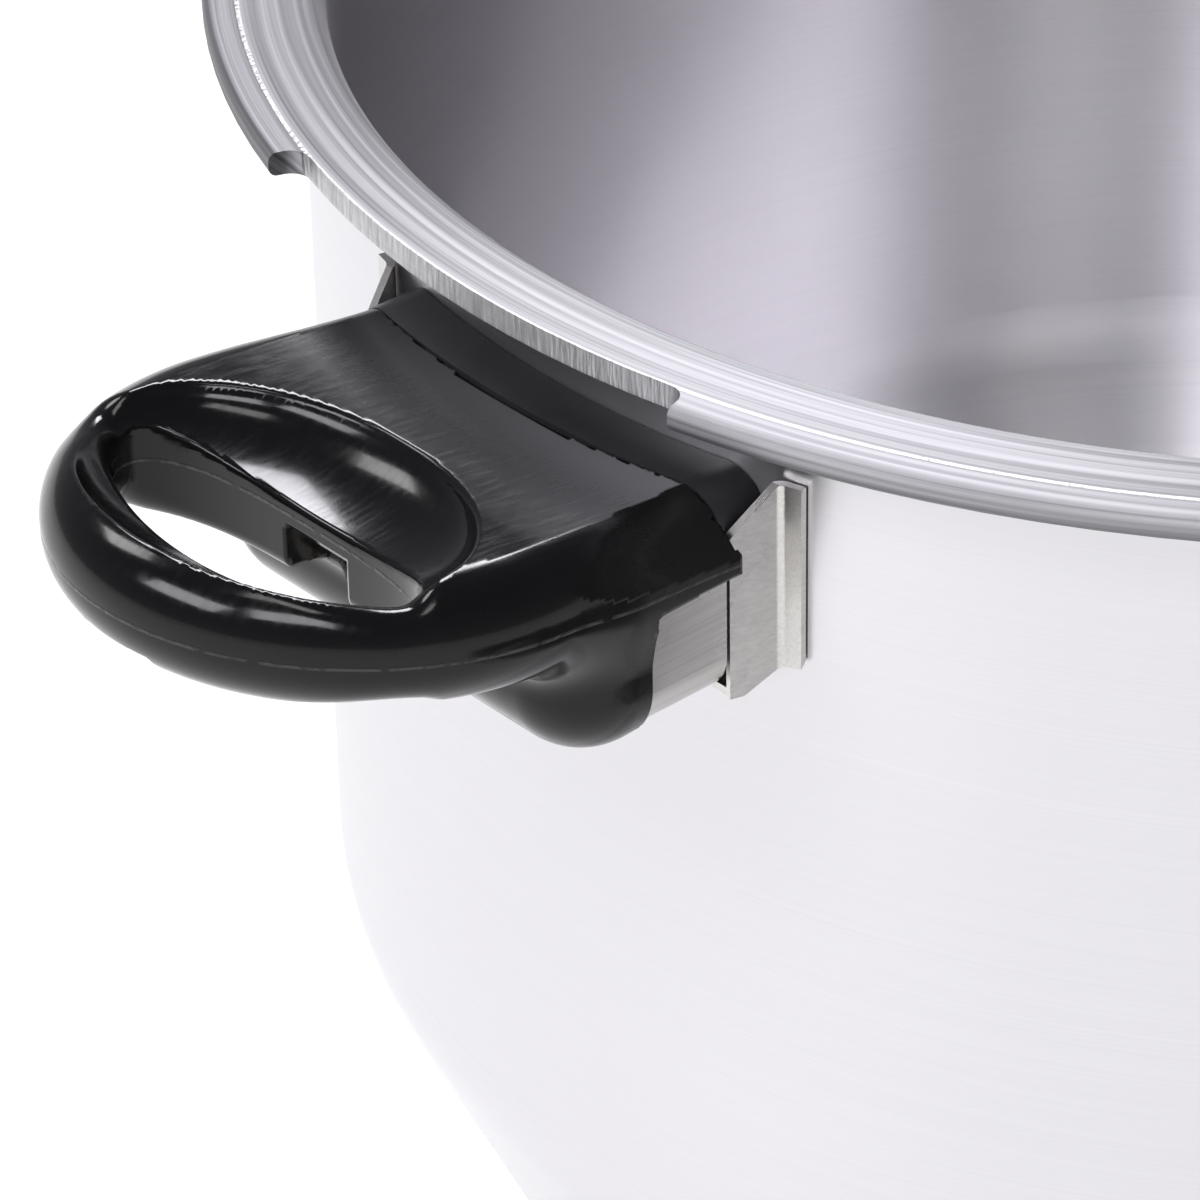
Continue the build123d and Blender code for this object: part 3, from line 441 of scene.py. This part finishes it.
# ================= moulded helper handle =================
def meet(a, b, radius):
    """Distance to where two solids overlap, with the edge between them rounded."""
    corner = np.hypot(np.maximum(radius + a, 0), np.maximum(radius + b, 0))
    return np.minimum(-radius, np.maximum(a, b)) + corner


def merge(a, b, radius):
    """Distance to two solids together, with the inner corner between them filled."""
    corner = np.hypot(np.maximum(radius - a, 0), np.maximum(radius - b, 0))
    return np.maximum(radius, np.minimum(a, b)) - corner


def oval(axes, radii):
    """Distance, near enough, to an ellipse or an ellipsoid about the origin."""
    near = np.sqrt(sum((x / r) ** 2 for x, r in zip(axes, radii)))
    far = np.sqrt(sum((x / r**2) ** 2 for x, r in zip(axes, radii))) + 1e-9
    return near * (near - 1) / far


def rounded_corner(a, b, radius):
    """Distance to the quarter plane where both a and b are negative, with its corner rounded."""
    a = a + radius
    b = b + radius
    return np.hypot(np.maximum(a, 0), np.maximum(b, 0)) + np.minimum(np.maximum(a, b), 0) - radius


def ease(t):
    """Smooth step from 0 to 1."""
    t = np.clip(t, 0, 1)
    return t * t * (3 - 2 * t)


def handle_outline(u, v):
    """Distance to the handle seen from above: straight flanks that run into an oval loop."""
    share = ease((u - seam_corner) / (loop_start - seam_corner))
    flank = np.abs(v) - (root_half_width + (loop_half_width - root_half_width) * share)
    loop = oval((u - loop_start, v), (loop_tip - loop_start, loop_half_width))
    return np.where(u < loop_start, flank, loop)


def loop_plate(u, v, level):
    """The flat loop with rounded edges, and the faint hollow along its shelf."""
    middle = (loop_top + loop_bottom) / 2
    slab = np.abs(level - middle) - (loop_bottom - loop_top) / 2
    plate = meet(handle_outline(u, v), slab, loop_rounding)
    across = np.clip(1 - (v / crease_half_width) ** 2, 0, 1)
    hollow = shelf_hollow * across * ease((shelf_end - u) / shelf_fade + shelf_lead)
    return np.maximum(plate, loop_top + hollow - level)


def root_boss(u, v, d, level):
    """The rounded block that hangs under the loop's root."""
    middle = (loop_top + loop_bottom) / 2
    plan = rounded_corner(u - boss_end, np.abs(v) - boss_half_width, boss_corner)
    boss = np.maximum(meet(plan, d - boss_bottom, boss_rounding), middle - level)
    lip = (d - core_bottom - boss_lip) - (u - guard_end) * boss_lip_slope
    return meet(boss, lip, boss_lip_rounding)


def finger_hole(u, v):
    """The finger hole seen from above: an oval with a flat wall towards the pot."""
    opening = oval((u - hole_centre, v), (hole_half_width, hole_half_length))
    return meet(opening, hole_wall - u, hole_corner)


def root_cuts(u, v, d):
    """What the bracket's tongue and the screw's shank take out of the root."""
    middle = (pocket_top + pocket_bottom) / 2
    pocket = np.maximum(np.abs(v) - pocket_half_width, np.abs(d - middle) - (pocket_bottom - pocket_top) / 2)
    bore = np.maximum(np.hypot(v, d - screw_drop) - bore_radius, u - recess_start - 1)
    return np.minimum(np.maximum(pocket, u - pocket_end), bore)


def screw_recess(u, v, d):
    """The slot with a round bottom that the screw's head sits in."""
    upper = np.maximum(np.abs(v) - recess_half_width, np.maximum(recess_top - d, d - screw_drop))
    round_bottom = np.hypot(v, d - screw_drop) - recess_half_width
    return np.maximum(np.minimum(round_bottom, upper), recess_start - u)


def handle_field(u, v, d):
    """Signed distance to the moulded handle, in millimetres, negative inside."""
    level = d + loop_rise * np.maximum(u - seam_corner, 0)
    body = merge(loop_plate(u, v, level), root_boss(u, v, d, level), boss_blend)
    growth = ease((u - hole_wall - hole_edge_start) / hole_edge_reach)
    body = meet(body, -finger_hole(u, v), hole_edge_at_wall + hole_edge_growth * growth)
    dish = oval((u - dish_centre, v, level - loop_top), (dish_half_width, dish_half_length, dish_depth))
    body = meet(body, -dish, dish_edge)
    core = rounded_corner(np.abs(v) - core_half_width, d - core_bottom, core_bend)
    guard_seat = np.maximum(np.maximum(-core, guard_top - d), u - guard_end)
    body = meet(body, -guard_seat, core_edge)
    body = np.maximum(body, -root_cuts(u, v, d))
    body = meet(body, -screw_recess(u, v, d), recess_edge)
    return np.maximum(body, seam_radius - np.hypot(u, v))


def field_slope(field, points):
    """The field's gradient at each point."""
    small = 0.02
    sides = []
    for axis in np.eye(3) * small:
        sides.append((field(*(points + axis).T) - field(*(points - axis).T)) / (2 * small))
    return np.stack(sides, axis=1)


def skin_of(field, low, high, step):
    """Vertices, faces and normals of a field's zero surface, with one vertex in each grid cell it crosses."""
    grid = np.meshgrid(*(np.arange(a, b + step, step) for a, b in zip(low, high)), indexing="ij")
    inside = field(*grid) < 0
    near = slice(0, -1)
    far = slice(1, None)
    corners = [inside[i, j, k] for i in (near, far) for j in (near, far) for k in (near, far)]
    count = sum(c.astype(int) for c in corners)
    crossed = (count > 0) & (count < 8)
    number = np.full(crossed.shape, -1)
    number[crossed] = np.arange(crossed.sum())
    points = np.array(low) + (np.argwhere(crossed) + 0.5) * step
    for _ in range(6):
        slope = field_slope(field, points)
        reach = np.clip(field(*points.T), -step, step)
        points = points - (reach / np.maximum((slope**2).sum(1), 0.05))[:, None] * slope
    faces = []
    for axis in range(3):
        turned = np.moveaxis(inside, axis, 0)
        cells = np.moveaxis(number, axis, 0)
        change = (turned[:-1] != turned[1:])[:, 1:-1, 1:-1]
        around = ((near, near), (far, near), (far, far), (near, far))
        ring = [cells[:, a, b][change] for a, b in around]
        quads = np.stack(ring, axis=1)
        flip = turned[:-1][:, 1:-1, 1:-1][change] ^ (axis == 1)
        quads[flip] = quads[flip][:, ::-1]
        faces.append(quads)
    slope = field_slope(field, points)
    normals = slope / np.maximum(np.linalg.norm(slope, axis=1), 1e-9)[:, None]
    return points, np.concatenate(faces), normals


def helper_handle():
    """The loop-shaped helper handle as one smooth moulding."""
    low = (seam_corner - 2.0, -loop_half_width - mesh_margin, 2.0)
    high = (loop_tip + 2.0, loop_half_width + mesh_margin, boss_bottom + mesh_margin)
    points, faces, normals = skin_of(handle_field, low, high, mesh_step)
    to_frame = np.array([[-1, 0, 0], [0, -1, 0], [0, 0, -1]])
    places = points @ to_frame * mm + np.array([0, 0, rim_z])
    mesh = bpy.data.meshes.new("helper_handle_moulding")
    mesh.from_pydata(places.tolist(), [], faces.tolist())
    mesh.validate()
    mesh.polygons.foreach_set("use_smooth", [True] * len(mesh.polygons))
    mesh.normals_split_custom_set_from_vertices((normals @ to_frame).tolist())
    return placed("helper_handle_moulding", mesh)


# ================= lock spring =================
def spring_mesh():
    """A compression spring whose end turns close up, between the faces that hold it."""
    centre = (spring_low + spring_high) / 2
    coil = (spring_high.z - spring_low.z) / 2 - spring_wire / 2
    start = spring_low.x + spring_wire
    length = spring_high.x - spring_low.x - 2 * spring_wire
    count = spring_turns * spring_steps
    rings = []
    for i in range(count + 1):
        share = i / count
        pitch = ease(share) * spring_closed_share + share * (1 - spring_closed_share)
        angle = 2 * math.pi * spring_turns * share
        y = centre.y + coil * math.cos(angle)
        z = centre.z + coil * math.sin(angle)
        rings.append(Vector((start + length * float(pitch), y, z)))
    vertices = []
    for i, here in enumerate(rings):
        along = (rings[min(i + 1, count)] - rings[max(i - 1, 0)]).normalized()
        out = (here - Vector((here.x, centre.y, centre.z))).normalized()
        side = along.cross(out).normalized()
        for k in range(spring_sides):
            turn = 2 * math.pi * k / spring_sides
            vertices.append(here + (out * math.cos(turn) + side * math.sin(turn)) * spring_wire / 2)
    faces = []
    for i in range(count):
        for k in range(spring_sides):
            a = i * spring_sides + k
            b = i * spring_sides + (k + 1) % spring_sides
            faces.append((a, b, b + spring_sides, a + spring_sides))
    faces.append(tuple(reversed(range(spring_sides))))
    faces.append(tuple(range(count * spring_sides, (count + 1) * spring_sides)))
    mesh = bpy.data.meshes.new("lock_spring_wire")
    mesh.from_pydata([tuple(v) for v in vertices], [], faces)
    mesh.validate()
    mesh.polygons.foreach_set("use_smooth", [True] * len(mesh.polygons))
    return placed("lock_spring_wire", mesh)


# ================= studio =================
def softbox(name, place, target, width, height, power, tint=(1.0, 1.0, 1.0)):
    """A rectangular soft light that faces a target and never shows to the camera."""
    light = bpy.data.lights.new(name, "AREA")
    light.shape = "RECTANGLE"
    light.size = width
    light.size_y = height
    light.energy = power
    light.color = tint
    made = placed(name, light)
    made.location = place
    made.rotation_mode = "QUATERNION"
    made.rotation_quaternion = (Vector(target) - Vector(place)).to_track_quat("-Z", "Y")
    made.visible_camera = False


def pale_floor():
    """A wide, seamless, pale floor."""
    reach = 30.0
    drop = 0.0002
    mesh = bpy.data.meshes.new("floor")
    corners = [(-reach, -reach, 0), (reach, -reach, 0), (reach, reach, 0), (-reach, reach, 0)]
    mesh.from_pydata(corners, [], [(0, 1, 2, 3)])
    finish = Finish("floor_paper", (0.3, 0.3, 0.3), 0.7)
    finish.set("Emission Color", (1.0, 1.0, 1.0, 1.0))
    finish.set("Emission Strength", 0.85)
    fibres = finish.noise(finish.place, 900.0)
    finish.set("Base Color", finish.blend(fibres, (0.29, 0.29, 0.29), (0.31, 0.31, 0.31)))
    mesh.materials.append(finish.material)
    floor = placed("floor", mesh)
    floor.location.z = -drop


def studio_air():
    """Pale surroundings, brightest at the horizon and dimmer overhead, where the softboxes are."""
    world = bpy.data.worlds.new("studio")
    world.use_nodes = True
    bpy.context.scene.world = world
    tree = world.node_tree
    place = tree.nodes.new("ShaderNodeTexCoord")
    parts = tree.nodes.new("ShaderNodeSeparateXYZ")
    ramp = tree.nodes.new("ShaderNodeValToRGB")
    ramp.color_ramp.elements[0].position = 0.0
    ramp.color_ramp.elements[0].color = (0.3, 0.3, 0.315, 1)
    ramp.color_ramp.elements[1].position = 0.75
    ramp.color_ramp.elements[1].color = (0.10, 0.10, 0.11, 1)
    middle = ramp.color_ramp.elements.new(0.3)
    middle.color = (0.2, 0.2, 0.215, 1)
    tree.links.new(place.outputs["Generated"], parts.inputs[0])
    tree.links.new(parts.outputs["Z"], ramp.inputs["Fac"])
    tree.links.new(ramp.outputs["Color"], tree.nodes["Background"].inputs["Color"])


def handle_camera():
    """The camera, close on the helper handle, the rim above it and the wall below."""
    data = bpy.data.cameras.new("camera")
    data.lens = camera_lens
    data.sensor_width = camera_sensor
    data.clip_start = camera_near
    data.clip_end = camera_far
    made = placed("camera", data)
    turn = Matrix.Rotation(math.radians(camera_heading), 4, "Z")
    tilt = Matrix.Rotation(math.radians(90 - camera_pitch), 4, "X")
    roll = Matrix.Rotation(math.radians(camera_roll), 4, "Z")
    made.matrix_world = Matrix.Translation(camera_place) @ turn @ tilt @ roll
    bpy.context.scene.camera = made


# ================= putting it together =================
pot_metal = turned_aluminium("pot_aluminium", (0.0, 0.0), milled_rim_with_painted_shade=True)
lid_metal = turned_aluminium("lid_aluminium", (lid_centre.x, lid_centre.y))
rivet_metal = cast_aluminium("rivet_aluminium")
guard_steel = satin_steel("guard_steel", 0)
bracket_steel = satin_steel("bracket_steel", 1)
zinc = plated_steel("zinc_plate", (0.62, 0.60, 0.55), (0.45, 0.36, 0.22))
machined = plated_steel("machined_steel", (0.68, 0.67, 0.66), (0.50, 0.48, 0.45))
wire = plated_steel("spring_wire", (0.50, 0.49, 0.48), (0.33, 0.30, 0.26))
handle_black = moulded_phenolic("handle_phenolic", (0.004, 0.0038, 0.0042), 0.12, helper=True)
grip_black = moulded_phenolic("grip_phenolic", (0.005, 0.0048, 0.0052), 0.18)
spacer_black = moulded_phenolic("spacer_phenolic", (0.02, 0.02, 0.022), 0.3, coat=0.15)
ring_grey = silicone("ring_silicone", (0.42, 0.42, 0.41))
seal_red = silicone("seal_silicone", (0.45, 0.05, 0.03))

by_slot = {
    "aluminium_brushed": lid_metal,
    "aluminium_rivet": rivet_metal,
    "steel_satin": bracket_steel,
    "steel_zinc": zinc,
    "steel_machined": machined,
    "phenolic_black": grip_black,
    "phenolic_dark": spacer_black,
    "silicone_grey": ring_grey,
    "silicone_red": seal_red,
    "spring_steel": wire,
}
by_node = {"pot_body": pot_metal}
for side in ("helper", "main"):
    by_node[f"{side}_front_guard"] = guard_steel
    by_node[f"{side}_rear_guard"] = guard_steel

for name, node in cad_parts.items():
    for holder in node.material_slots:
        packed = holder.material.name.split(".")[0]
        holder.material = by_node.get(name) or by_slot.get(packed, bracket_steel)

handle = helper_handle()
handle.data.materials.append(handle_black)
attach(handle, "pot")
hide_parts("helper_handle")

spring = spring_mesh()
spring.data.materials.append(wire)
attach(spring, "lid")
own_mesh(spring)
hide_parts("lock_spring")

pale_floor()
studio_air()
softbox("overhead", (-0.35, -0.1, 1.4), (-0.1, 0, 0.15), 0.5, 0.25, 2.5)
softbox("back_left", (-0.3, 1.05, 1.3), (-0.12, 0, 0.17), 0.4, 0.4, 5.0)
softbox("back_right", (0.7, 0.9, 1.2), (-0.13, 0, 0.17), 0.45, 0.5, 14.0, (0.96, 0.95, 1.0))
softbox("front_high", (-1.1, -0.75, 1.5), (0, 0, 0.15), 0.9, 0.5, 15.0, (0.97, 0.96, 1.0))
softbox("left_high", (-1.4, 0.3, 1.3), (0, 0, 0.15), 0.9, 0.5, 16.0, (0.96, 0.95, 1.0))
handle_camera()
bpy.context.scene.view_settings.view_transform = "Standard"
